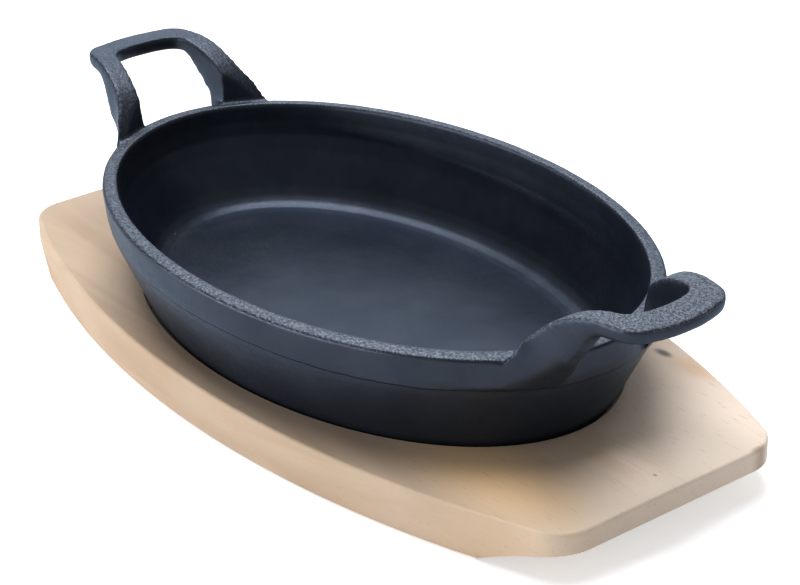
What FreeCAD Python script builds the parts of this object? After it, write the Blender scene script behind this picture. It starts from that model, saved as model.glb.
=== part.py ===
import FreeCAD, Part
import math
import os
import Sketcher

V = FreeCAD.Vector

# Sizes in millimetres, one row per driving dimension: alias, value, what it is
SIZES = [
    ("bowl_length", 220.0, "bowl over the rim, along X"),
    ("bowl_width", 144.6, "bowl over the rim, along Y"),
    ("bowl_height", 38.3, "underside of the foot to the inner edge of the rim"),
    ("rim_drop", 0.8, "fall of the rim's top face from its inner to its outer edge"),
    ("rim_width_end", 5.8, "width of the rim's top face at the two ends"),
    ("rim_width_side", 4.8, "width of the rim's top face at the long sides"),
    ("rim_bevel", 0.6, "bevel along both edges of the rim's top face"),
    ("knee_height", 27.2, "underside of the foot to the lower edge of the upright band"),
    ("knee_inset", 1.0, "how far the band's lower edge lies inside the rim"),
    ("knee_bend", 3.0, "height over which the band bends into the tapered wall, each way"),
    ("inner_knee_bend", 5.0, "the same on the inside of the wall"),
    ("foot_length", 190.0, "flat foot under the bowl, along X"),
    ("foot_width", 120.0, "flat foot under the bowl, along Y"),
    ("foot_bend", 1.6, "run and height of the rounding between the tapered wall and the foot"),
    ("floor_thickness", 4.5, "iron under the bowl's inside floor"),
    ("wall_thickness", 5.0, "tapered wall, measured level, at the inside floor"),
    ("floor_bend", 6.0, "run and height of the rounding between the inside wall and the floor"),
    ("handle_reach", 30.5, "rim's end to the outer end of the handle"),
    ("handle_root_width", 47.6, "width over the handle's legs where they start to flare"),
    ("handle_end_width", 36.8, "the same width, carried on to the handle's outer end"),
    ("handle_rise", 19.3, "height of the handle's crest above the rim"),
    ("end_bow", 45.0, "radius in plan of the handle's outer end"),
    ("end_corner", 9.0, "corner radius in plan of the handle's outer end"),
    ("end_bar", 10.5, "width of the bar across the handle's end"),
    ("leg_width", 7.8, "width in plan of each leg of the handle"),
    ("flare_inset", 28.5, "handle's outer end to where the legs start to flare"),
    ("flare_radius", 18.0, "radius in plan by which each leg flares towards the rim"),
    ("flare_angle", 43.0, "angle in degrees at which the flared legs run into the rim"),
    ("finger_corner", 6.0, "corner radius in plan of the finger opening, at the handle's end"),
    ("finger_inset", 3.0, "rim's outer edge to the finger opening's side against the bowl"),
    ("finger_root", 2.0, "corner radius in plan of the finger opening, at the rim"),
    ("crest_inset", 12.5, "handle's outer end to its crest"),
    ("arch_radius", 30.0, "radius in side view of the handle's rising top face"),
    ("droop_radius", 100.0, "radius in side view of the top face beyond the crest"),
    ("under_radius", 16.5, "radius in side view where the underside turns down to the root"),
    ("under_inset", 13.5, "handle's outer end to where the underside starts to turn down"),
    ("strap_thickness", 5.5, "thickness of the handle's strap at its crest"),
    ("root_depth", 20.0, "how far the handle's root reaches in under the rim"),
    ("root_lift", 1.0, "band's lower edge to the bottom of the handle's root"),
    ("crease_inset", 2.0, "rim's outer edge to the crease where a leg rises"),
    ("crease_depth", 3.0, "how far the crease's cut starts below the rim"),
    ("crease_height", 25.0, "how far the crease's cut ends above the rim"),
    ("crease_slope", 0.15, "how far a leg's inner foot leans out per unit of height"),
    ("board_end_margin", 41.46, "wood beyond the seat at each end of the board"),
    ("board_side_margin", 8.28, "wood beyond the seat at the middle of each long side"),
    ("board_thickness", 15.2, "board along Z"),
    ("board_shift", 1.4, "how far the board's middle lies to the near side of the seat's"),
    ("board_bow", 345.0, "radius in plan of the board's two long sides"),
    ("board_corner", 14.0, "corner radius in plan of the board"),
    ("board_break", 1.0, "edge radius round the board's faces"),
    ("grip_reach", 26.5, "board's end to the start of the finger hollow below it"),
    ("grip_end", 6.7, "thickness that the hollow leaves at the board's end"),
    ("grip_radius", 76.0, "radius in side view of the finger hollow"),
    ("seat_depth", 3.0, "oval seat sunk into the board for the foot"),
    ("seat_clearance", 1.0, "gap round the foot at the board's top face"),
]

doc = FreeCAD.newDocument("sizzle_platter")

sheet = doc.addObject("Spreadsheet::Sheet", "Sizes")
for row, (alias, value, meaning) in enumerate(SIZES, start=1):
    sheet.set("A%d" % row, meaning)
    sheet.set("B%d" % row, str(value))
    sheet.setAlias("B%d" % row, alias)
doc.recompute()

# Levels and outlines that several features share, as formulas over the sheet
FOOT_LEVEL = "(Sizes.board_thickness - Sizes.seat_depth)"
RIM_LEVEL = "(%s + Sizes.bowl_height)" % FOOT_LEVEL
KNEE_LENGTH = "(Sizes.bowl_length - 2 * Sizes.knee_inset)"
KNEE_WIDTH = "(Sizes.bowl_width - 2 * Sizes.knee_inset)"
HANDLE_END = "(Sizes.bowl_length / 2 + Sizes.handle_reach)"


def size(alias):
    return float(getattr(sheet, alias))


def taper_length(height):
    """Length over the tapered outer wall at a height above the foot."""
    return "(Sizes.foot_length + (%s - Sizes.foot_length) * %s / Sizes.knee_height)" % (KNEE_LENGTH, height)


def taper_width(height):
    """Width over the tapered outer wall at a height above the foot."""
    return "(Sizes.foot_width + (%s - Sizes.foot_width) * %s / Sizes.knee_height)" % (KNEE_WIDTH, height)


def oval(name, length, width, level):
    """A level ellipse from its full length, full width and height."""
    curve = doc.addObject("Part::Ellipse", name)
    curve.setExpression("MajorRadius", "%s / 2" % length)
    curve.setExpression("MinorRadius", "%s / 2" % width)
    curve.setExpression("Placement.Base.z", level)
    return curve


def loft(name, sections):
    """A solid with straight walls from each section to the next."""
    solid = doc.addObject("Part::Loft", name)
    solid.Sections = sections
    solid.Solid = True
    solid.Ruled = True
    return solid


def prism(name, profile, level, height):
    """A plan outline carried straight up from a level."""
    solid = doc.addObject("Part::Extrusion", name)
    solid.Base = profile
    solid.DirMode = "Custom"
    solid.Dir = V(0, 0, 1)
    solid.Solid = True
    solid.setExpression("LengthFwd", height)
    solid.setExpression("Placement.Base.z", level)
    return solid


def cut(name, base, tool):
    solid = doc.addObject("Part::Cut", name)
    solid.Base = base
    solid.Tool = tool
    return solid


def fuse(name, shapes):
    solid = doc.addObject("Part::MultiFuse", name)
    solid.Shapes = shapes
    solid.Refine = True
    return solid


def fillet(name, base, choose, radius):
    """Round the edges of a shape that choose() accepts."""
    doc.recompute()
    rounded = doc.addObject("Part::Fillet", name)
    rounded.Base = base
    picked = [i for i, edge in enumerate(base.Shape.Edges, start=1) if choose(edge)]
    rounded.Edges = [(i, radius, radius) for i in picked]
    return rounded


def is_upright(edge):
    box = edge.BoundBox
    return box.ZLength > 1 and box.XLength < 0.01 and box.YLength < 0.01


def tie(sketch, name, constraint, formula):
    """Add a dimension to a sketch and drive it from the sheet."""
    index = sketch.addConstraint(constraint)
    sketch.renameConstraint(index, name)
    sketch.setExpression("Constraints." + name, formula)


def join_in_ring(sketch, count):
    """Make curves 0 to count-1 meet end to start, closing on the first."""
    for i in range(count):
        sketch.addConstraint(Sketcher.Constraint("Coincident", i, END, (i + 1) % count, START))


def arc(centre, radius, start, end):
    """A counter-clockwise arc between two angles in radians."""
    return Part.ArcOfCircle(Part.Circle(centre, V(0, 0, 1), radius), start, end)


# Corners of the bowl's section, each a length, a width and a level
BAND_HEIGHT = "(Sizes.bowl_height - Sizes.knee_height)"
WALL_HEIGHT = "(Sizes.knee_height - Sizes.floor_thickness)"
FOOT = ("Sizes.foot_length", "Sizes.foot_width", FOOT_LEVEL)
KNEE = (KNEE_LENGTH, KNEE_WIDTH, "(%s + Sizes.knee_height)" % FOOT_LEVEL)
RIM_OUTER = ("Sizes.bowl_length", "Sizes.bowl_width", "(%s - Sizes.rim_drop)" % RIM_LEVEL)
RIM_INNER = (
    "(Sizes.bowl_length - 2 * Sizes.rim_width_end)",
    "(Sizes.bowl_width - 2 * Sizes.rim_width_side)",
    RIM_LEVEL,
)
INNER_KNEE = (
    "(%s - 2 * Sizes.rim_width_end)" % KNEE_LENGTH,
    "(%s - 2 * Sizes.rim_width_side)" % KNEE_WIDTH,
    KNEE[2],
)
FLOOR = (
    "(%s - 2 * Sizes.wall_thickness)" % taper_length("Sizes.floor_thickness"),
    "(%s - 2 * Sizes.wall_thickness)" % taper_width("Sizes.floor_thickness"),
    "(%s + Sizes.floor_thickness)" % FOOT_LEVEL,
)


def part_way(first, second, share):
    """The section that lies a share of the way from one to another."""
    return tuple("(%s + (%s - %s) * %s)" % (a, b, a, share) for a, b in zip(first, second))


def widened(section, margin, rise="0"):
    """A section carried outwards, and upwards where a rise is given."""
    length, width, level = section
    return "(%s + 2 * %s)" % (length, margin), "(%s + 2 * %s)" % (width, margin), "(%s + %s)" % (level, rise)


def bend(before, corner, after, steps):
    """Sections that carry a wall round a corner in a smooth curve."""
    sections = []
    for step in range(steps + 1):
        done = step / steps
        shares = ((1 - done) ** 2, 2 * done * (1 - done), done ** 2)
        mixed = tuple(
            "(%.4f * %s + %.4f * %s + %.4f * %s)" % (shares[0], a, shares[1], b, shares[2], c)
            for a, b, c in zip(before, corner, after)
        )
        sections.append(mixed)
    return sections


def stack(name, sections):
    """A solid through ovals from the bottom up."""
    return loft(name, [oval("%s_%d" % (name, i), *section) for i, section in enumerate(sections, start=1)])


# Bowl: one oval casting with a tapered wall under a nearly upright band
bowl = stack("bowl", [
    *bend(
        widened(FOOT, "(-Sizes.foot_bend)"), FOOT,
        part_way(FOOT, KNEE, "Sizes.foot_bend / Sizes.knee_height"), 2,
    ),
    *bend(
        part_way(KNEE, FOOT, "Sizes.knee_bend / Sizes.knee_height"), KNEE,
        part_way(KNEE, RIM_OUTER, "Sizes.knee_bend / " + BAND_HEIGHT), 2,
    ),
    part_way(RIM_OUTER, KNEE, "Sizes.rim_bevel / " + BAND_HEIGHT),
    part_way(RIM_OUTER, RIM_INNER, "Sizes.rim_bevel / Sizes.rim_width_side"),
    RIM_INNER,
])

# Hollow: the inside of the bowl, carried on above the rim so that it cuts clean
hollow = stack("hollow", [
    *bend(
        widened(FLOOR, "(-Sizes.floor_bend)"), FLOOR,
        part_way(FLOOR, INNER_KNEE, "Sizes.floor_bend / " + WALL_HEIGHT), 4,
    ),
    *bend(
        part_way(INNER_KNEE, FLOOR, "Sizes.inner_knee_bend / " + WALL_HEIGHT), INNER_KNEE,
        part_way(INNER_KNEE, RIM_INNER, "Sizes.inner_knee_bend / " + BAND_HEIGHT), 2,
    ),
    part_way(RIM_INNER, INNER_KNEE, "Sizes.rim_bevel / " + BAND_HEIGHT),
    widened(RIM_INNER, "Sizes.rim_bevel"),
    widened(RIM_INNER, "Sizes.rim_bevel", BAND_HEIGHT),
])

# Handle, side view: a strap that arches up off the rim and droops to its end
half_length = size("bowl_length") / 2
end_x = half_length + size("handle_reach")
crest_x = end_x - size("crest_inset")
root_x = half_length - size("root_depth")
top_radius = size("arch_radius")
under_radius = size("under_radius")
droop_radius = size("droop_radius")
crest_z = size("handle_rise")
arch_z = crest_z - top_radius
end_z = crest_z - droop_radius + math.sqrt(droop_radius ** 2 - size("crest_inset") ** 2)
under_z = crest_z - size("strap_thickness")
root_top = -2 * size("rim_drop")
root_start = crest_x - math.sqrt(top_radius ** 2 - (root_top - arch_z) ** 2)
root_under = size("knee_height") + size("root_lift") - size("bowl_height")
bend_x = end_x - size("under_inset")
bend_z = under_z - under_radius
front_x = bend_x - under_radius

side = doc.addObject("Sketcher::SketchObject", "handle_side")
side.Placement = FreeCAD.Placement(V(0, 0, 0), FreeCAD.Rotation(V(1, 0, 0), 90))
side.setExpression("Placement.Base.z", RIM_LEVEL)
arch_centre = V(crest_x, arch_z, 0)
droop_start = math.asin(size("crest_inset") / droop_radius)
side.addGeometry([
    arc(V(crest_x, crest_z - droop_radius, 0), droop_radius, math.pi / 2 - droop_start, math.pi / 2),
    arc(arch_centre, top_radius, math.pi / 2, math.atan2(root_top - arch_z, root_start - crest_x)),
    Part.LineSegment(V(root_start, root_top, 0), V(root_x, root_top, 0)),
    Part.LineSegment(V(root_x, root_top, 0), V(root_x, root_under, 0)),
    Part.LineSegment(V(root_x, root_under, 0), V(front_x, root_under, 0)),
    Part.LineSegment(V(front_x, root_under, 0), V(front_x, bend_z, 0)),
    arc(V(bend_x, bend_z, 0), under_radius, math.pi / 2, math.pi),
    Part.LineSegment(V(bend_x, under_z, 0), V(end_x, under_z, 0)),
    Part.LineSegment(V(end_x, under_z, 0), V(end_x, end_z, 0)),
])
DROOP, ARCH, ROOT_TOP, ROOT_IN, ROOT_UNDER, ROOT_FRONT, UNDER, UNDER_END, TIP = range(9)
START, END, CENTRE = range(1, 4)
X_AXIS, Y_AXIS = -1, -2
ORIGIN = X_AXIS
for first, first_point, second, second_point in [
    (DROOP, END, ARCH, START),
    (ARCH, END, ROOT_TOP, START),
    (ROOT_TOP, END, ROOT_IN, START),
    (ROOT_IN, END, ROOT_UNDER, START),
    (ROOT_UNDER, END, ROOT_FRONT, START),
    (ROOT_FRONT, END, UNDER, END),
    (UNDER, START, UNDER_END, START),
    (UNDER_END, END, TIP, START),
    (TIP, END, DROOP, START),
]:
    side.addConstraint(Sketcher.Constraint("Coincident", first, first_point, second, second_point))
for level_line in (ROOT_TOP, ROOT_UNDER, UNDER_END):
    side.addConstraint(Sketcher.Constraint("Horizontal", level_line))
for upright_line in (ROOT_IN, ROOT_FRONT, TIP):
    side.addConstraint(Sketcher.Constraint("Vertical", upright_line))
side.addConstraint(Sketcher.Constraint("Vertical", DROOP, CENTRE, DROOP, END))
side.addConstraint(Sketcher.Constraint("Vertical", ARCH, CENTRE, ARCH, START))
side.addConstraint(Sketcher.Constraint("Vertical", UNDER, CENTRE, UNDER, START))
side.addConstraint(Sketcher.Constraint("Horizontal", UNDER, CENTRE, UNDER, END))
tie(side, "droop", Sketcher.Constraint("Radius", DROOP, droop_radius), "Sizes.droop_radius")
tie(side, "arch", Sketcher.Constraint("Radius", ARCH, top_radius), "Sizes.arch_radius")
tie(side, "under", Sketcher.Constraint("Radius", UNDER, under_radius), "Sizes.under_radius")
tie(
    side, "bend_x", Sketcher.Constraint("DistanceX", UNDER_END, START, bend_x),
    HANDLE_END + " - Sizes.under_inset",
)
tie(
    side, "under_z", Sketcher.Constraint("DistanceY", UNDER_END, START, under_z),
    "Sizes.handle_rise - Sizes.strap_thickness",
)
tie(
    side, "root_under", Sketcher.Constraint("DistanceY", ROOT_UNDER, START, root_under),
    "Sizes.knee_height + Sizes.root_lift - Sizes.bowl_height",
)
tie(
    side, "crest_x", Sketcher.Constraint("DistanceX", DROOP, END, crest_x),
    HANDLE_END + " - Sizes.crest_inset",
)
tie(side, "crest_z", Sketcher.Constraint("DistanceY", DROOP, END, crest_z), "Sizes.handle_rise")
tie(side, "tip_x", Sketcher.Constraint("DistanceX", TIP, START, end_x), HANDLE_END)
tie(
    side, "root_x", Sketcher.Constraint("DistanceX", ROOT_IN, START, root_x),
    "Sizes.bowl_length / 2 - Sizes.root_depth",
)
tie(side, "root_top", Sketcher.Constraint("DistanceY", ROOT_IN, START, root_top), "-2 * Sizes.rim_drop")

handle_side = doc.addObject("Part::Extrusion", "handle_side_solid")
handle_side.Base = side
handle_side.DirMode = "Custom"
handle_side.Dir = V(0, 1, 0)
handle_side.Solid = True
handle_side.Symmetric = True
handle_side.setExpression("LengthFwd", "Sizes.bowl_width")


# Handle, plan: a bow-ended loop whose legs spread and then flare towards the rim
spread = (size("handle_root_width") - size("handle_end_width")) / 2 / size("flare_inset")
leg_lean = math.atan(spread)
flare_turn = math.radians(size("flare_angle"))
flare_radius = size("flare_radius")
flare_x = end_x - size("flare_inset")
flare_y = size("handle_root_width") / 2
run_x = flare_x - flare_radius * (math.sin(flare_turn) - math.sin(leg_lean))
run_y = flare_y + flare_radius * (math.cos(leg_lean) - math.cos(flare_turn))
run_end = run_y + (run_x - root_x) * math.tan(flare_turn)
centre_x = flare_x + flare_radius * math.sin(leg_lean)
centre_y = flare_y + flare_radius * math.cos(leg_lean)
tip_half = size("handle_end_width") / 2
bow_centre = V(end_x - size("end_bow"), 0, 0)
PLAN_HEIGHT = "(Sizes.bowl_height + 2 * Sizes.handle_rise)"
ROOT_X = "Sizes.bowl_length / 2 - Sizes.root_depth"
SPREAD = "((Sizes.handle_root_width - Sizes.handle_end_width) / 2 / Sizes.flare_inset)"


def tie_bow(sketch, bow, radius, formula):
    """Hold the bow of the handle's end to its radius and to the common centre."""
    sketch.addConstraint(Sketcher.Constraint("PointOnObject", bow, CENTRE, X_AXIS))
    tie(sketch, "bow", Sketcher.Constraint("Radius", bow, radius), formula)
    tie(
        sketch, "centre", Sketcher.Constraint("DistanceX", bow, CENTRE, bow_centre.x),
        HANDLE_END + " - Sizes.end_bow",
    )


def tie_legs(sketch, near, far):
    """Give both sides of the legs their slope in plan."""
    tie(sketch, "near_lean", Sketcher.Constraint("Angle", near, leg_lean), "atan(%s)" % SPREAD)
    tie(
        sketch, "far_lean", Sketcher.Constraint("Angle", far, math.pi - leg_lean),
        "180deg - atan(%s)" % SPREAD,
    )


def close_inside(sketch, line):
    """Close the outline by an upright line inside the bowl's wall."""
    sketch.addConstraint(Sketcher.Constraint("Symmetric", line, START, line, END, X_AXIS))
    tie(sketch, "inside", Sketcher.Constraint("DistanceX", line, START, root_x), ROOT_X)


outer = doc.addObject("Sketcher::SketchObject", "outer_outline")
bow_reach = math.asin(tip_half / size("end_bow"))
bow_x = bow_centre.x + size("end_bow") * math.cos(bow_reach)
outer.addGeometry([
    Part.LineSegment(V(root_x, -run_end, 0), V(run_x, -run_y, 0)),
    arc(V(centre_x, -centre_y, 0), flare_radius, math.pi / 2 + leg_lean, math.pi / 2 + flare_turn),
    Part.LineSegment(V(flare_x, -flare_y, 0), V(bow_x, -tip_half, 0)),
    arc(bow_centre, size("end_bow"), -bow_reach, bow_reach),
    Part.LineSegment(V(bow_x, tip_half, 0), V(flare_x, flare_y, 0)),
    arc(V(centre_x, centre_y, 0), flare_radius, -math.pi / 2 - flare_turn, -math.pi / 2 - leg_lean),
    Part.LineSegment(V(run_x, run_y, 0), V(root_x, run_end, 0)),
    Part.LineSegment(V(root_x, run_end, 0), V(root_x, -run_end, 0)),
])
NEAR_RUN, NEAR_FLARE, NEAR_LEG, BOW, FAR_LEG, FAR_FLARE, FAR_RUN, INSIDE = range(8)
for first, first_point, second, second_point in [
    (NEAR_LEG, END, BOW, START),
    (BOW, END, FAR_LEG, START),
    (FAR_RUN, END, INSIDE, START),
    (INSIDE, END, NEAR_RUN, START),
]:
    outer.addConstraint(Sketcher.Constraint("Coincident", first, first_point, second, second_point))
for first, first_point, second, second_point in [
    (NEAR_RUN, END, NEAR_FLARE, END),
    (NEAR_FLARE, START, NEAR_LEG, START),
    (FAR_LEG, END, FAR_FLARE, END),
    (FAR_FLARE, START, FAR_RUN, START),
]:
    outer.addConstraint(Sketcher.Constraint("Tangent", first, first_point, second, second_point))
outer.addConstraint(Sketcher.Constraint("Symmetric", NEAR_LEG, START, FAR_LEG, END, X_AXIS))
tie_bow(outer, BOW, size("end_bow"), "Sizes.end_bow")
tie_legs(outer, NEAR_LEG, FAR_LEG)
close_inside(outer, INSIDE)
tie(
    outer, "flare_x", Sketcher.Constraint("DistanceX", FAR_LEG, END, flare_x),
    HANDLE_END + " - Sizes.flare_inset",
)
tie(
    outer, "flare_y", Sketcher.Constraint("DistanceY", FAR_LEG, END, flare_y),
    "Sizes.handle_root_width / 2",
)
tie(outer, "near_flare", Sketcher.Constraint("Radius", NEAR_FLARE, flare_radius), "Sizes.flare_radius")
tie(outer, "far_flare", Sketcher.Constraint("Radius", FAR_FLARE, flare_radius), "Sizes.flare_radius")
tie(
    outer, "run", Sketcher.Constraint("Angle", FAR_RUN, math.pi - flare_turn),
    "180deg - Sizes.flare_angle * 1deg",
)
outer_blank = prism("outer_blank", outer, FOOT_LEVEL, PLAN_HEIGHT)
outer_plan = fillet(
    "outer_plan", outer_blank, lambda edge: is_upright(edge) and edge.BoundBox.XMin > crest_x,
    size("end_corner"),
)

# Finger opening: the same outline a leg's width further in, closed off at the rim
inner = doc.addObject("Sketcher::SketchObject", "inner_outline")
inner_bow = size("end_bow") - size("end_bar")
inner_root = tip_half + spread * (end_x - root_x) - size("leg_width") / math.cos(leg_lean)
inner_end = tip_half - size("leg_width")
inner_reach = math.asin(inner_end / inner_bow)
inner_x = bow_centre.x + inner_bow * math.cos(inner_reach)
inner.addGeometry([
    Part.LineSegment(V(root_x, -inner_root, 0), V(inner_x, -inner_end, 0)),
    arc(bow_centre, inner_bow, -inner_reach, inner_reach),
    Part.LineSegment(V(inner_x, inner_end, 0), V(root_x, inner_root, 0)),
    Part.LineSegment(V(root_x, inner_root, 0), V(root_x, -inner_root, 0)),
])
join_in_ring(inner, 4)
tie_bow(inner, 1, inner_bow, "Sizes.end_bow - Sizes.end_bar")
tie_legs(inner, 0, 2)
close_inside(inner, 3)
tie(
    inner, "root", Sketcher.Constraint("DistanceY", 3, START, inner_root),
    "Sizes.handle_end_width / 2 + %s * (Sizes.handle_reach + Sizes.root_depth)"
    " - Sizes.leg_width / cos(atan(%s))" % (SPREAD, SPREAD),
)
inner_plan = prism("inner_plan", inner, FOOT_LEVEL, PLAN_HEIGHT)
rim_side = oval(
    "rim_side",
    "(Sizes.bowl_length - 2 * Sizes.finger_inset)",
    "(Sizes.bowl_width - 2 * Sizes.finger_inset)",
    "0",
)
opening_blank = cut("opening_blank", inner_plan, prism("rim_side_plan", rim_side, FOOT_LEVEL, PLAN_HEIGHT))
opening_end = fillet(
    "opening_end", opening_blank, lambda edge: is_upright(edge) and edge.BoundBox.XMin > half_length,
    size("finger_corner"),
)
finger_opening = fillet(
    "finger_opening", opening_end, lambda edge: is_upright(edge) and edge.BoundBox.XMin < half_length,
    size("finger_root"),
)

handle_blank = doc.addObject("Part::MultiCommon", "handle_blank")
handle_blank.Shapes = [handle_side, outer_plan]
strap_blank = cut("strap_blank", handle_blank, finger_opening)


def crease_oval(name, height):
    """The bowl's outline inside the crease, leaning out as it rises above the rim."""
    inset = "(Sizes.crease_inset - (%s) * Sizes.crease_slope)" % height
    return oval(
        name,
        "(Sizes.bowl_length - 2 * %s)" % inset,
        "(Sizes.bowl_width - 2 * %s)" % inset,
        "%s + %s" % (RIM_LEVEL, height),
    )


crease_low = crease_oval("crease_low", "(-Sizes.crease_depth)")
crease = loft("crease", [crease_low, crease_oval("crease_high", "Sizes.crease_height")])
handle_right = cut("handle_right", strap_blank, crease)
handle_left = doc.addObject("Part::Mirroring", "handle_left")
handle_left.Source = handle_right
handle_left.Normal = V(1, 0, 0)

casting = fuse("casting", [bowl, handle_right, handle_left])
pan = cut("pan", casting, hollow)


# Board: bow-sided plank with a sunk oval seat and a finger hollow under each end
board = doc.addObject("PartDesign::Body", "board")


def origin_plane(role):
    return [plane for plane in board.Origin.OriginFeatures if plane.Role == role][0]


def board_sketch(name, role):
    sketch = board.newObject("Sketcher::SketchObject", name)
    sketch.AttachmentSupport = [(origin_plane(role), "")]
    sketch.MapMode = "FlatFace"
    return sketch


outline = board_sketch("outline", "XY_Plane")
outline.setExpression("AttachmentOffset.Base.y", "-Sizes.board_shift")
SEAT_LENGTH = "(%s + 2 * Sizes.seat_clearance)" % taper_length("Sizes.seat_depth")
SEAT_WIDTH = "(%s + 2 * Sizes.seat_clearance)" % taper_width("Sizes.seat_depth")
BOARD_END = "(%s / 2 + Sizes.board_end_margin)" % SEAT_LENGTH
BOARD_HALF = "(%s / 2 + Sizes.board_side_margin)" % SEAT_WIDTH
foot_share = size("seat_depth") / size("knee_height")
knee_length = size("bowl_length") - 2 * size("knee_inset")
knee_width = size("bowl_width") - 2 * size("knee_inset")
seat_gap = 2 * size("seat_clearance")
seat_long = size("foot_length") + (knee_length - size("foot_length")) * foot_share + seat_gap
seat_wide = size("foot_width") + (knee_width - size("foot_width")) * foot_share + seat_gap
board_end = seat_long / 2 + size("board_end_margin")
board_half = seat_wide / 2 + size("board_side_margin")
bow = size("board_bow")
bow_angle = math.asin(board_end / bow)
end_half = board_half - bow * (1 - math.cos(bow_angle))
outline.addGeometry([
    arc(V(0, board_half - bow, 0), bow, math.pi / 2 - bow_angle, math.pi / 2 + bow_angle),
    Part.LineSegment(V(-board_end, end_half, 0), V(-board_end, -end_half, 0)),
    arc(V(0, bow - board_half, 0), bow, -math.pi / 2 - bow_angle, -math.pi / 2 + bow_angle),
    Part.LineSegment(V(board_end, -end_half, 0), V(board_end, end_half, 0)),
])
join_in_ring(outline, 4)
outline.addConstraint(Sketcher.Constraint("Vertical", 1))
outline.addConstraint(Sketcher.Constraint("Vertical", 3))
outline.addConstraint(Sketcher.Constraint("PointOnObject", 0, CENTRE, Y_AXIS))
outline.addConstraint(Sketcher.Constraint("PointOnObject", 2, CENTRE, Y_AXIS))
outline.addConstraint(Sketcher.Constraint("Symmetric", 1, START, 3, START, ORIGIN, START))
tie(outline, "bow_far", Sketcher.Constraint("Radius", 0, bow), "Sizes.board_bow")
tie(outline, "bow_near", Sketcher.Constraint("Radius", 2, bow), "Sizes.board_bow")
tie(
    outline, "length", Sketcher.Constraint("DistanceX", 1, START, 3, END, 2 * board_end),
    "2 * " + BOARD_END,
)
tie(
    outline, "far_side", Sketcher.Constraint("DistanceY", 0, CENTRE, ORIGIN, START, bow - board_half),
    "Sizes.board_bow - " + BOARD_HALF,
)

plank = board.newObject("PartDesign::Pad", "plank")
plank.Profile = outline
plank.setExpression("Length", "Sizes.board_thickness")
doc.recompute()


def round_board(name, base, choose, radius_alias):
    """Round the chosen edges of the board, by a radius from the sheet."""
    rounded = board.newObject("PartDesign::Fillet", name)
    names = ["Edge%d" % i for i, edge in enumerate(base.Shape.Edges, start=1) if choose(edge)]
    rounded.Base = (base, names)
    rounded.setExpression("Radius", "Sizes." + radius_alias)
    doc.recompute()
    return rounded


corners = round_board("corners", plank, is_upright, "board_corner")
round_board(
    "edges", corners, lambda edge: not is_upright(edge) and edge.BoundBox.ZLength < 0.01, "board_break"
)

# Finger hollow: an arc that lifts the underside towards the board's end
grip_side = board_sketch("grip_side", "XZ_Plane")
grip_start = board_end - size("grip_reach")
grip_top = size("board_thickness") - size("grip_end")
grip_radius = size("grip_radius")
climb = math.atan2(grip_top, size("grip_reach"))
half_turn = math.asin(math.hypot(size("grip_reach"), grip_top) / 2 / grip_radius)
grip_centre = V(
    grip_start + grip_radius * math.sin(climb + half_turn),
    -grip_radius * math.cos(climb + half_turn),
    0,
)
outside = board_end + size("board_break")
below = -size("board_break")
grip_side.addGeometry([
    arc(grip_centre, grip_radius, math.pi / 2 + climb - half_turn, math.pi / 2 + climb + half_turn),
    Part.LineSegment(V(grip_start, 0, 0), V(grip_start, below, 0)),
    Part.LineSegment(V(grip_start, below, 0), V(outside, below, 0)),
    Part.LineSegment(V(outside, below, 0), V(outside, grip_top, 0)),
    Part.LineSegment(V(outside, grip_top, 0), V(board_end, grip_top, 0)),
])
join_in_ring(grip_side, 5)
for level_line in (2, 4):
    grip_side.addConstraint(Sketcher.Constraint("Horizontal", level_line))
for upright_line in (1, 3):
    grip_side.addConstraint(Sketcher.Constraint("Vertical", upright_line))
grip_side.addConstraint(Sketcher.Constraint("PointOnObject", 0, END, X_AXIS))
tie(grip_side, "radius", Sketcher.Constraint("Radius", 0, grip_radius), "Sizes.grip_radius")
tie(grip_side, "end_x", Sketcher.Constraint("DistanceX", 0, START, board_end), BOARD_END)
tie(
    grip_side, "end_z", Sketcher.Constraint("DistanceY", 0, START, grip_top),
    "Sizes.board_thickness - Sizes.grip_end",
)
tie(
    grip_side, "reach", Sketcher.Constraint("DistanceX", 0, END, 0, START, size("grip_reach")),
    "Sizes.grip_reach",
)
tie(
    grip_side, "outside", Sketcher.Constraint("DistanceX", 4, END, 4, START, size("board_break")),
    "Sizes.board_break",
)
tie(
    grip_side, "below", Sketcher.Constraint("DistanceY", 1, END, 1, START, size("board_break")),
    "Sizes.board_break",
)

grip_right = board.newObject("PartDesign::Pocket", "grip_right")
grip_right.Profile = grip_side
grip_right.SideType = "Symmetric"
grip_right.setExpression("Length", "4 * " + BOARD_HALF)
doc.recompute()
grips = board.newObject("PartDesign::Mirrored", "grips")
grips.Originals = [grip_right]
grips.MirrorPlane = (origin_plane("YZ_Plane"), [""])
board.Tip = grips
doc.recompute()

# Seat: an oval hollow in the board's top that the foot stands in
seat_oval = board_sketch("seat_oval", "XY_Plane")
seat_oval.setExpression("AttachmentOffset.Base.z", "Sizes.board_thickness")
seat_oval.addGeometry(Part.Ellipse(V(0, 0, 0), seat_long / 2, seat_wide / 2))
seat_oval.exposeInternalGeometry(0)
LONG_AXIS, SHORT_AXIS = 1, 2
seat_oval.addConstraint(Sketcher.Constraint("Coincident", 0, CENTRE, ORIGIN, START))
seat_oval.addConstraint(Sketcher.Constraint("Horizontal", LONG_AXIS))
tie(seat_oval, "length", Sketcher.Constraint("Distance", LONG_AXIS, seat_long), SEAT_LENGTH)
tie(seat_oval, "width", Sketcher.Constraint("Distance", SHORT_AXIS, seat_wide), SEAT_WIDTH)
seat = board.newObject("PartDesign::Pocket", "seat")
seat.Profile = seat_oval
seat.setExpression("Length", "Sizes.seat_depth")
doc.recompute()


pan.Label = "pan"
board.Label = "board"
doc.recompute()

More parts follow.
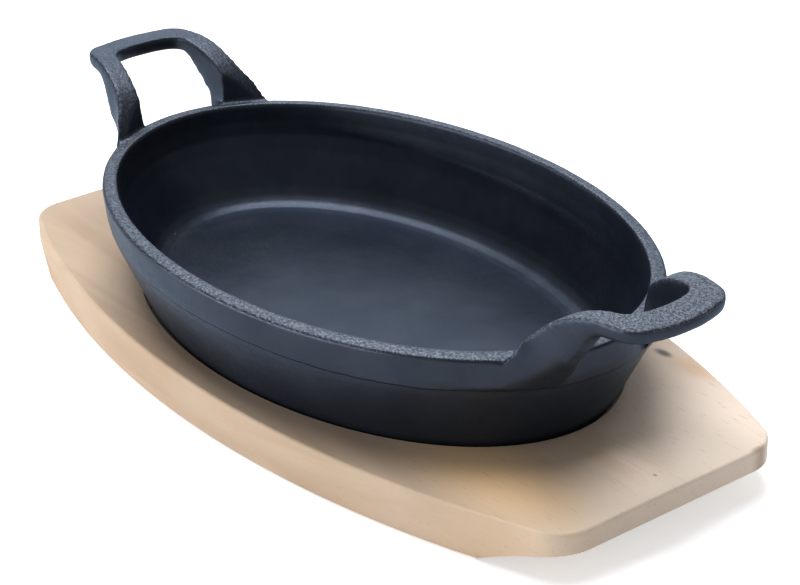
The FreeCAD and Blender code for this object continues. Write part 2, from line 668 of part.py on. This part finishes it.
for item in doc.Objects:
    if "Invalid" in item.State or "Error" in item.State:
        raise RuntimeError("%s did not build" % item.Name)
for node in (pan, board):
    if node.Shape.isNull() or not node.Shape.isValid():
        raise RuntimeError("%s has no valid shape" % node.Label)

os.makedirs("parts", exist_ok=True)
for node in (pan, board):
    node.Shape.exportStep("parts/%s.step" % node.Label)
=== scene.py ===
import math

import bpy
import numpy as np
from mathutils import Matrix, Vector, noise


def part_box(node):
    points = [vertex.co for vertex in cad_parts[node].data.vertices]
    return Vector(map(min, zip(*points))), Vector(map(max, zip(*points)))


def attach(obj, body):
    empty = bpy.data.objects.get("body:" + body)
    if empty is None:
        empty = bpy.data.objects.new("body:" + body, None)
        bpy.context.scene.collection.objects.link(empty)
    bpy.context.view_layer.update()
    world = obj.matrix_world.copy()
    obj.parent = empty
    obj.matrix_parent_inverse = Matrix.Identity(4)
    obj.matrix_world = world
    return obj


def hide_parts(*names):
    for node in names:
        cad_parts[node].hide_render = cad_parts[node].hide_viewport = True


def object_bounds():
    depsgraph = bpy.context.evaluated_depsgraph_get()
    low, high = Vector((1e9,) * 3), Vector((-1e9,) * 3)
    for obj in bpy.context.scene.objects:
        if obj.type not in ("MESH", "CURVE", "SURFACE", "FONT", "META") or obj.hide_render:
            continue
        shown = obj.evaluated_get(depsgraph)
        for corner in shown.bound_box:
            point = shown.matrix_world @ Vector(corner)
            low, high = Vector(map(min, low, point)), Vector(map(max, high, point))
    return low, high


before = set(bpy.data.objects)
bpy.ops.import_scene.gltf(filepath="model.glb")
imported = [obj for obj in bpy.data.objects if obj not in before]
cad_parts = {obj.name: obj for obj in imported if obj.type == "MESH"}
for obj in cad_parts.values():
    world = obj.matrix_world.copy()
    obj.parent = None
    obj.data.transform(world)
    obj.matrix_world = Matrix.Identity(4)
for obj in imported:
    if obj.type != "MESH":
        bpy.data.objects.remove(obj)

cad_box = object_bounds()
pan_low, pan_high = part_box("pan")
scene = bpy.context.scene
MM = 0.001

# The bowl, in metres: half the rim's length and width, its top face and the wall's knee
RIM_LONG = 110.0 * MM
RIM_WIDE = 72.3 * MM
RIM_LEVEL = pan_low[2] + 38.3 * MM
KNEE_LEVEL = pan_low[2] + 27.2 * MM

# The handle's side view: the arc over the strap and the one under it
HANDLE_END = pan_high[0]
ARCH_X = HANDLE_END - 12.5 * MM
ARCH_Z = RIM_LEVEL - 10.7 * MM
ARCH_RADIUS = 30 * MM
UNDER_X = HANDLE_END - 13.5 * MM
UNDER_Z = RIM_LEVEL - 2.7 * MM
UNDER_RADIUS = 16.5 * MM

# The casting: size of its even quads, share of the faces that stay, depth of the blend
# under the strap, and how far a leg's root may stand out at the rim and at the band
QUAD = 0.66 * MM
KEPT_SHARE = 0.39
BLEND_DEPTH = 5 * MM
ROOT_ROOM = 7.5 * MM
LEAST_ROOM = 0.1 * MM

# Its long and short waves: height in mm, length in metres
LONG_HEIGHT, LONG_WAVE = 0.07, 13 * MM
SHORT_HEIGHT, SHORT_WAVE = 0.04, 5 * MM
SEED_SHIFT = Vector((3.7, 1.3, 5.1))

# Grain of the rim's top beside that of the handles
RIM_GRAIN = 0.72


# Mesh tools
def in_scene(name, data):
    """A new object in the scene that carries the data."""
    piece = bpy.data.objects.new(name, data)
    scene.collection.objects.link(piece)
    return piece


def worked_out(holder):
    """The mesh that an object's modifiers give; the object itself goes."""
    bpy.context.view_layer.update()
    seen = holder.evaluated_get(bpy.context.evaluated_depsgraph_get())
    mesh = bpy.data.meshes.new_from_object(seen)
    bpy.data.objects.remove(holder)
    return mesh


def even_mesh(node, quad):
    """A CAD node's surface as small even quads."""
    holder = in_scene(node + "_copy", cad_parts[node].data.copy())
    grid = holder.modifiers.new("even", "REMESH")
    grid.mode = "VOXEL"
    grid.voxel_size = quad
    return worked_out(holder)


def thinned(mesh, share, plain):
    """The mesh with a share of its faces; the rest go where plain is true of the points."""
    holder = in_scene("thinned", mesh)
    group = holder.vertex_groups.new(name="plain")
    group.add(np.nonzero(plain)[0].tolist(), 1.0, "REPLACE")
    cut = holder.modifiers.new("fewer", "DECIMATE")
    cut.ratio = share
    cut.vertex_group = group.name
    return worked_out(holder)


def shade_smooth(mesh):
    for face in mesh.polygons:
        face.use_smooth = True


def get_vectors(mesh, name):
    """A vector for each point of the mesh: co is its place, normal its direction."""
    values = np.empty(len(mesh.vertices) * 3)
    mesh.vertices.foreach_get(name, values)
    return values.reshape(-1, 3)


def set_points(mesh, points):
    mesh.vertices.foreach_set("co", points.ravel())
    mesh.update()


def store(mesh, name, values):
    """A number for each point, which the material reads by its name."""
    layer = mesh.attributes.new(name, "FLOAT", "POINT")
    layer.data.foreach_set("value", values.astype(np.float32))


class Neighbours:
    """Smoothing by the mean place of each point's neighbours along the mesh's edges."""

    STEP_IN = 0.50
    STEP_OUT = 0.52

    def __init__(self, mesh):
        ends = np.empty(len(mesh.edges) * 2, dtype=np.int64)
        mesh.edges.foreach_get("vertices", ends)
        ends = ends.reshape(-1, 2)
        self.near = np.concatenate([ends[:, 0], ends[:, 1]])
        self.other = np.concatenate([ends[:, 1], ends[:, 0]])
        self.count = len(mesh.vertices)
        self.degree = np.bincount(self.near, minlength=self.count)[:, None]

    def mean(self, points):
        total = np.stack(
            [np.bincount(self.near, points[self.other, axis], self.count) for axis in range(3)],
            axis=1,
        )
        return total / self.degree

    def relax(self, points, passes, amount):
        """Plain smoothing by an amount for each point."""
        for _ in range(passes):
            points = points + amount[:, None] * (self.mean(points) - points)
        return points

    def fill(self, points, normals, passes, amount):
        """Smoothing that only adds: hollow corners fill up, edges stay."""
        for _ in range(passes):
            rise = np.sum((self.mean(points) - points) * normals, axis=1)
            points = points + normals * (amount * np.maximum(rise, 0))[:, None]
        return points

    def settle(self, points, passes, share=1.0):
        """Smoothing that keeps the volume: a step in and a slightly longer step out."""
        for _ in range(passes):
            points = points + self.STEP_IN * share * (self.mean(points) - points)
            points = points - self.STEP_OUT * share * (self.mean(points) - points)
        return points


def ramp(value, low, high):
    """0 below low, 1 above high, smooth between; where low is the larger, the other way."""
    share = np.clip((value - low) / (high - low), 0, 1)
    return share * share * (3 - 2 * share)


def waves(points, scale, seed):
    """Smooth noise at each point, about -1 to 1; scale is the size of its lumps."""
    shift = seed * SEED_SHIFT
    return np.array([noise.noise(Vector(point) / scale + shift) for point in points])


def rim_gap(points):
    """Distance outside the rim's outer oval in plan, negative inside it."""
    x, y = points[:, 0], points[:, 1]
    share = np.hypot(x / RIM_LONG, y / RIM_WIDE)
    slope = np.hypot(x / RIM_LONG ** 2, y / RIM_WIDE ** 2) / share
    return (share - 1) / slope


def rim_facing(points):
    """The rim oval's outward direction in plan at each point."""
    slope = points[:, :2] / np.array([RIM_LONG ** 2, RIM_WIDE ** 2])
    return slope / np.hypot(slope[:, 0], slope[:, 1])[:, None]


def located(points):
    """For each point its distance outside the rim, height over the rim and reach along X."""
    return rim_gap(points), points[:, 2] - RIM_LEVEL, np.abs(points[:, 0])


# Pan: the casting with its soft lower edges, cast-in blends and sand-cast surface
def settled(net, points):
    """The steps of the even quads go, and the handles end a little softer than the bowl."""
    points = net.settle(points, passes=5)
    gap, height, _ = located(points)
    on_handle = ramp(height, 0, 1 * MM) * ramp(gap, -1 * MM, 1 * MM)
    points = net.settle(points, passes=12, share=on_handle[:, None])
    return net.relax(points, passes=4, amount=0.5 * on_handle)


def blended_underneath(points, gap, reach):
    """The strap's underside meets the bowl in a deep blend."""
    ahead = UNDER_X - reach
    below = UNDER_Z - points[:, 2]
    under = np.minimum(below, 0)
    radius = np.hypot(ahead, under)
    on_root = ramp(gap, 0, 1 * MM) * ramp(ahead, 1 * MM, 12 * MM) * ramp(below, 7 * MM, 1 * MM)
    step = BLEND_DEPTH * on_root * ramp(radius, UNDER_RADIUS + BLEND_DEPTH, UNDER_RADIUS)
    moved = points.copy()
    moved[:, 0] += np.sign(points[:, 0]) * step * ahead / radius
    moved[:, 2] += step * under / radius
    return moved


def narrowed_root(points, height):
    """Below the rim the leg's root narrows down into the band."""
    room = ROOT_ROOM * ramp(height, -10.5 * MM, 1.5 * MM) + LEAST_ROOM
    past = np.maximum(rim_gap(points) - room, 0) * ramp(height, 3 * MM, 0)
    moved = points.copy()
    moved[:, :2] -= past[:, None] * rim_facing(points)
    return moved


def rounded_below(net, points, gap, height, reach):
    """The strap's lower edges are well rounded."""
    depth_arch = ARCH_RADIUS - np.hypot(reach - ARCH_X, points[:, 2] - ARCH_Z)
    depth_end = ARCH_Z + ARCH_RADIUS - points[:, 2]
    depth = np.where(reach < ARCH_X, depth_arch, depth_end)
    low = ramp(depth, 1.6 * MM, 4.4 * MM) * ramp(gap, 1 * MM, 3 * MM) * ramp(height, -6 * MM, 0)
    return net.relax(points, passes=26, amount=0.5 * low)


def filleted_legs(net, points, normals, gap, height, reach):
    """The legs run into the rim with a cast fillet, softest on the outside."""
    at_root = (
        ramp(gap, -1.5 * MM, 0.5 * MM) * ramp(gap, 12 * MM, 6 * MM)
        * ramp(reach, 84 * MM, 90 * MM) * ramp(height, -15 * MM, -11 * MM)
    )
    points = net.fill(points, normals, passes=80, amount=0.5 * at_root)
    outside = at_root * ramp(gap, 0.3 * MM, 1.5 * MM) * ramp(height, 6 * MM, 2 * MM)
    return net.relax(points, passes=14, amount=0.5 * outside)


def sand_cast(points, normals):
    """The slightly uneven surface of a casting, kept within the CAD part's box."""
    long_waves = LONG_HEIGHT * waves(points, LONG_WAVE, seed=1)
    short_waves = SHORT_HEIGHT * waves(points, SHORT_WAVE, seed=2)
    rise = (long_waves + short_waves) * MM
    return np.clip(points + normals * rise[:, None], np.array(cad_box[0]), np.array(cad_box[1]))


def store_marks(mesh):
    """What the iron's material reads: the grainy top faces, painted shade on their sloping outer
    edge, the outside.
    """
    points = get_vectors(mesh, "co")
    upright = get_vectors(mesh, "normal")[:, 2]
    gap, height, _ = located(points)

    on_rim = ramp(height, -1.3 * MM, -0.8 * MM) * ramp(gap, 0.2 * MM, -0.5 * MM)
    on_rim = on_rim * ramp(upright, 0.62, 0.86)
    # Painted shade: the rim's outer half loses its pale grit under the near handle's front leg
    shade_under_leg = ramp(points[:, 0], 97 * MM, 99 * MM) * ramp(points[:, 1], -12 * MM, -14 * MM)
    on_rim = on_rim * (1 - shade_under_leg * ramp(gap, -2.4 * MM, -1.8 * MM))
    on_handle = ramp(height, 0.5 * MM, 2.0 * MM) * ramp(gap, -3.5 * MM, -2.5 * MM)
    on_handle = on_handle * ramp(upright, 0.32, 0.62)
    # Painted shade: the pale grit fades towards the far end along X, so the far handle reads darker
    grit_kept_in_far_shade = ramp(points[:, 0], -300 * MM, 100 * MM)
    store(mesh, "grain", np.maximum(RIM_GRAIN * on_rim, on_handle * grit_kept_in_far_shade))

    # Painted shade: faces that slope down just outside the rim, at its level and above, get a darker
    # colour
    leaning = ramp(upright, 0.25, 0.5) * ramp(upright, 0.85, 0.65)
    edge = leaning * ramp(height, -2 * MM, -1 * MM) * ramp(gap, -1.5 * MM, -0.5 * MM)
    store(mesh, "edge", edge)
    store(mesh, "outside", ramp(gap, -6 * MM, -3 * MM))


def make_pan():
    mesh = even_mesh("pan", QUAD)
    net = Neighbours(mesh)
    points = settled(net, get_vectors(mesh, "co"))
    gap, height, reach = located(points)
    points = blended_underneath(points, gap, reach)
    points = narrowed_root(points, height)
    points = rounded_below(net, points, gap, height, reach)
    set_points(mesh, points)
    points = filleted_legs(net, points, get_vectors(mesh, "normal"), gap, height, reach)
    set_points(mesh, points)
    points = sand_cast(points, get_vectors(mesh, "normal"))
    set_points(mesh, points)

    # The handles and the rim's top keep all their faces
    gap, height, _ = located(points)
    on_top = (height > -1.5 * MM) & (gap > -6.5 * MM) & (gap < 0.5 * MM)
    mesh = thinned(mesh, KEPT_SHARE, plain=~(on_top | (height > 1 * MM)))
    store_marks(mesh)
    shade_smooth(mesh)
    return in_scene("pan_casting", mesh)


# Board: the plank as built, shaded smooth over its eased edges
def make_board():
    holder = in_scene("board_raw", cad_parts["board"].data.copy())
    shade_smooth(holder.data)
    shading = holder.modifiers.new("shading", "WEIGHTED_NORMAL")
    shading.weight = 80
    return in_scene("board_plank", worked_out(holder))


# Material tools
class Nodes:
    """A material's node tree with short calls to add and join nodes."""

    # Places of a colour mix's sockets among the mix node's inputs and outputs
    SHARE, FIRST_COLOUR, SECOND_COLOUR = 0, 6, 7
    MIXED_COLOUR = 2

    def __init__(self, name):
        self.material = bpy.data.materials.new(name)
        self.material.use_nodes = True
        self.tree = self.material.node_tree
        self.shader = self.tree.nodes["Principled BSDF"]

    def add(self, kind, values=None, **settings):
        """A new node with its settings, and fixed values on the named inputs."""
        node = self.tree.nodes.new(kind)
        for name, setting in settings.items():
            setattr(node, name, setting)
        for name, value in (values or {}).items():
            node.inputs[name].default_value = value
        return node

    def join(self, source, target):
        self.tree.links.new(source, target)

    def feed(self, source, target):
        """Joins a socket to the input, or sets the input to a number or a colour."""
        if isinstance(source, (int, float)):
            target.default_value = source
        elif isinstance(source, tuple):
            target.default_value = (*source, 1)
        else:
            self.join(source, target)

    def here(self, values):
        """Object coordinates, moved and stretched by the mapping's values."""
        coordinates = self.add("ShaderNodeTexCoord")
        mapping = self.add("ShaderNodeMapping", values)
        self.join(coordinates.outputs["Object"], mapping.inputs["Vector"])
        return mapping.outputs["Vector"]

    def noise(self, scale, detail, roughness, distortion=0.0, stretch=(1, 1, 1)):
        """Noise at the object coordinates, stretched by a scale for each axis."""
        node = self.add("ShaderNodeTexNoise", {
            "Scale": scale, "Detail": detail, "Roughness": roughness, "Distortion": distortion,
        })
        self.join(self.here({"Scale": stretch}), node.inputs["Vector"])
        return node.outputs["Fac"]

    def spread(self, value, low, high, to_low=0.0, to_high=1.0):
        """Maps low..high to to_low..to_high, held at the ends."""
        node = self.add("ShaderNodeMapRange", {
            "From Min": low, "From Max": high, "To Min": to_low, "To Max": to_high,
        }, interpolation_type="SMOOTHSTEP")
        self.join(value, node.inputs["Value"])
        return node.outputs["Result"]

    def math(self, operation, first, second):
        node = self.add("ShaderNodeMath", operation=operation)
        self.feed(first, node.inputs[0])
        self.feed(second, node.inputs[1])
        return node.outputs["Value"]

    def blend(self, share, first, second):
        """Two colours mixed by a share; each may be a colour or a socket."""
        node = self.add("ShaderNodeMix", data_type="RGBA")
        self.feed(share, node.inputs[self.SHARE])
        self.feed(first, node.inputs[self.FIRST_COLOUR])
        self.feed(second, node.inputs[self.SECOND_COLOUR])
        return node.outputs[self.MIXED_COLOUR]

    def spot(self, middle, reach, core, amount):
        """amount within the core share of an oval, in mm in plan, fading to 0 at its edge."""
        place = self.here({
            "Location": (-middle[0] / reach[0], -middle[1] / reach[1], 0),
            "Scale": (1 / reach[0] / MM, 1 / reach[1] / MM, 0),
        })
        far = self.add("ShaderNodeVectorMath", operation="LENGTH")
        self.join(place, far.inputs[0])
        return self.spread(far.outputs["Value"], core, 1.0, amount, 0.0)

    def level(self, ripple, height):
        """Height above the board's underside, rippled by a noise."""
        coordinates = self.add("ShaderNodeTexCoord")
        parts = self.add("ShaderNodeSeparateXYZ")
        self.join(coordinates.outputs["Object"], parts.inputs["Vector"])
        return self.math("ADD", parts.outputs["Z"], self.math("MULTIPLY", ripple, height))

    def attribute(self, name):
        return self.add("ShaderNodeAttribute", attribute_name=name).outputs["Fac"]

    def bump(self, height, distance, strength, below=None):
        """A bump's normal, laid over the one below."""
        node = self.add("ShaderNodeBump", {"Distance": distance, "Strength": strength})
        self.join(height, node.inputs["Height"])
        if below is not None:
            self.join(below, node.inputs["Normal"])
        return node.outputs["Normal"]


# Materials
def cast_iron():
    """Seasoned iron: bluish black, with pale grit on the top faces, painted shade on their sloping
    outer edges and a line on the outside.
    """
    dark, pale = (0.027, 0.034, 0.050), (0.038, 0.046, 0.064)
    grit_colour, edge_shade_colour = (0.22, 0.24, 0.285), (0.020, 0.024, 0.036)
    iron = Nodes("cast_iron")
    shader = iron.shader
    grain = iron.attribute("grain")
    cloud = iron.noise(scale=45, detail=4, roughness=0.6)
    fine = iron.noise(scale=900, detail=3, roughness=0.6)
    sand = iron.noise(scale=1250, detail=3, roughness=0.7)
    specks = iron.math("MULTIPLY", iron.spread(sand, 0.34, 0.74), grain)
    # Painted shade on the sloping outer edges of the handles and the rim
    edge = iron.math("MULTIPLY", iron.attribute("edge"), 0.6)
    colour = iron.blend(iron.spread(cloud, 0.3, 0.7), dark, pale)
    colour = iron.blend(specks, colour, grit_colour)
    iron.join(iron.blend(edge, colour, edge_shade_colour), shader.inputs["Base Color"])
    shader.inputs["Metallic"].default_value = 0.75
    shader.inputs["Specular Tint"].default_value = (0.60, 0.71, 0.86, 1)
    dull = iron.spread(fine, 0.3, 0.7, 0.33, 0.42)
    iron.join(iron.math("ADD", dull, iron.math("MULTIPLY", grain, 0.16)), shader.inputs["Roughness"])
    peel = iron.bump(fine, distance=0.10 * MM, strength=0.30)
    grit = iron.bump(iron.math("MULTIPLY", sand, grain), 0.45 * MM, 0.8, below=peel)

    # The faint casting line at the lower edge of the band
    level = iron.level(iron.noise(scale=60, detail=3, roughness=0.6), 2.4 * MM)
    above = iron.spread(level, KNEE_LEVEL + 0.5 * MM, KNEE_LEVEL + 1.1 * MM)
    line = iron.math("MULTIPLY", above, iron.attribute("outside"))
    iron.join(iron.bump(line, 0.35 * MM, 0.8, below=grit), shader.inputs["Normal"])
    return iron.material


def pale_wood():
    """Pale wood along X: its figure, warm places, painted light over the right end and over the
    pan's shadow at the front, fibres, flecks and single marks.
    """
    wood = Nodes("pale_wood")
    shader = wood.shader
    figure = wood.noise(9, 3, 0.5, distortion=0.6, stretch=(1, 9, 9))
    blotch = wood.noise(14, 2, 0.5, stretch=(1, 1.6, 1.6))
    streak = wood.noise(9, 2, 0.5, distortion=1.2, stretch=(3, 16, 1))
    fibre = wood.noise(42, 3, 0.6, stretch=(1, 22, 22))
    fleck = wood.noise(190, 2, 0.5, stretch=(1, 6, 6))
    streaked = wood.spot((110, -4), (32, 26), 0.0, 0.9)
    streak = wood.math("MULTIPLY", wood.spread(streak, 0.50, 0.66, 0.0, 0.45), streaked)

    tone = wood.blend(wood.spread(figure, 0.3, 0.7), (0.45, 0.325, 0.225), (0.53, 0.40, 0.29))
    for share, colour in (
        (wood.spread(blotch, 0.35, 0.65, 0.0, 0.4), (0.56, 0.44, 0.335)),
        # Painted light on the right end of the board, over its paler tone there
        (wood.spot((135, 40), (110, 85), 0.1, 0.95), (0.84, 0.71, 0.60)),
        (wood.spot((160, -10), (48, 110), 0.3, 0.7), (0.82, 0.70, 0.59)),
        # Warm tan in front of the pan: partly the wood's own tone, partly painted light that lifts
        # the pan's shadow
        (wood.spot((98, -36), (52, 24), 0.0, 0.95), (0.88, 0.60, 0.33)),
        (streak, (0.58, 0.40, 0.26)),
        (wood.spread(fibre, 0.58, 0.8, 0.0, 0.20), (0.45, 0.29, 0.17)),
        (wood.spread(fleck, 0.62, 0.72, 0.0, 0.28), (0.42, 0.27, 0.17)),
    ):
        tone = wood.blend(share, tone, colour)

    # The brown tint, the knot, the dot and the nick that the photo shows at the right end
    for middle, reach, core, amount, colour in (
        ((92, 53), (15, 7), 0.0, 0.55, (0.62, 0.36, 0.17)),
        ((79, 52.5), (5.0, 2.4), 0.2, 0.95, (0.10, 0.085, 0.08)),
        ((129.9, -0.6), (1.1, 0.7), 0.3, 0.7, (0.20, 0.13, 0.09)),
        ((138.2, 33), (1.6, 4.5), 0.2, 0.6, (0.34, 0.22, 0.14)),
    ):
        tone = wood.blend(wood.spot(middle, reach, core, amount), tone, colour)

    wood.join(tone, shader.inputs["Base Color"])
    shader.inputs["Roughness"].default_value = 0.62
    shader.inputs["Specular IOR Level"].default_value = 0.35
    wood.join(wood.bump(fibre, distance=0.08 * MM, strength=0.4), shader.inputs["Normal"])
    return wood.material


def dress(piece, material):
    """The piece with this material alone."""
    piece.data.materials.clear()
    piece.data.materials.append(material)


pan = make_pan()
dress(pan, cast_iron())
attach(pan, "root")
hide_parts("pan")

board = make_board()
dress(board, pale_wood())
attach(board, "root")
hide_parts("board")


# Studio: white floor that keeps the shadow, soft lights, white surroundings
def make_floor():
    """The camera alone sees the floor glow, and less so round the object, where light falls."""
    glow, glow_near = 1.0, 0.5
    near_reach = (1400, 1400)
    bpy.ops.mesh.primitive_plane_add(size=8)
    floor = bpy.context.object
    floor.name = "studio_floor"
    sheet = Nodes("studio_floor")
    shader = sheet.shader
    shader.inputs["Base Color"].default_value = (0.92, 0.92, 0.92, 1)
    shader.inputs["Roughness"].default_value = 0.9
    shader.inputs["Specular IOR Level"].default_value = 0.0
    shader.inputs["Emission Color"].default_value = (1, 1, 1, 1)
    path = sheet.add("ShaderNodeLightPath")
    near = sheet.spot((0, 0), near_reach, 0.3, glow_near - glow)
    strength = sheet.math("MULTIPLY", path.outputs["Is Camera Ray"], sheet.math("ADD", near, glow))
    sheet.join(strength, shader.inputs["Emission Strength"])
    floor.data.materials.append(sheet.material)


def make_softbox(name, place, size, power):
    """A rectangular light that faces the middle of the object."""
    light = bpy.data.lights.new(name, "AREA")
    light.shape = "RECTANGLE"
    light.size, light.size_y = size
    light.energy = power
    holder = in_scene(name, light)
    holder.location = place
    facing = (Vector((0, 0, RIM_LEVEL)) - Vector(place)).to_track_quat("-Z", "Y")
    holder.rotation_euler = facing.to_euler()


def make_world():
    """Dim surroundings for the light, plain white for the camera."""
    world = bpy.data.worlds.new("studio")
    scene.world = world
    world.use_nodes = True
    tree = world.node_tree
    white = tree.nodes["Background"]
    white.inputs["Color"].default_value = (1, 1, 1, 1)
    white.inputs["Strength"].default_value = 1.0
    dim = tree.nodes.new("ShaderNodeBackground")
    dim.inputs["Color"].default_value = (1, 1, 1, 1)
    dim.inputs["Strength"].default_value = 0.28
    path = tree.nodes.new("ShaderNodeLightPath")
    mix = tree.nodes.new("ShaderNodeMixShader")
    tree.links.new(path.outputs["Is Camera Ray"], mix.inputs[0])
    tree.links.new(dim.outputs[0], mix.inputs[1])
    tree.links.new(white.outputs[0], mix.inputs[2])
    tree.links.new(mix.outputs[0], tree.nodes["World Output"].inputs["Surface"])


make_floor()
make_softbox("key", place=(-0.34, 0.10, 1.20), size=(0.9, 0.9), power=17)
make_softbox("back", place=(-1.05, 0.84, 0.62), size=(1.8, 0.9), power=8)
make_softbox("front", place=(-0.45, -1.25, 0.10), size=(1.6, 0.16), power=14)
make_world()


# Camera: the photograph's own, found from the object's outlines
def make_camera():
    turn, lift, roll = math.radians(51.48), math.radians(26.85), math.radians(-0.505)
    target = Vector((18.83, -4.04, 31.05)) * MM
    distance = 741.6 * MM
    lens = bpy.data.cameras.new("camera")
    lens.sensor_width = 36
    lens.lens = 106.8
    eye = in_scene("camera", lens)
    back = Vector((
        math.sin(turn) * math.cos(lift), -math.cos(turn) * math.cos(lift), math.sin(lift),
    ))
    eye.location = target + back * distance
    eye.rotation_euler = back.to_track_quat("Z", "Y").to_euler()
    eye.rotation_euler.rotate_axis("Z", roll)
    scene.camera = eye


make_camera()
scene.view_settings.view_transform = "Standard"
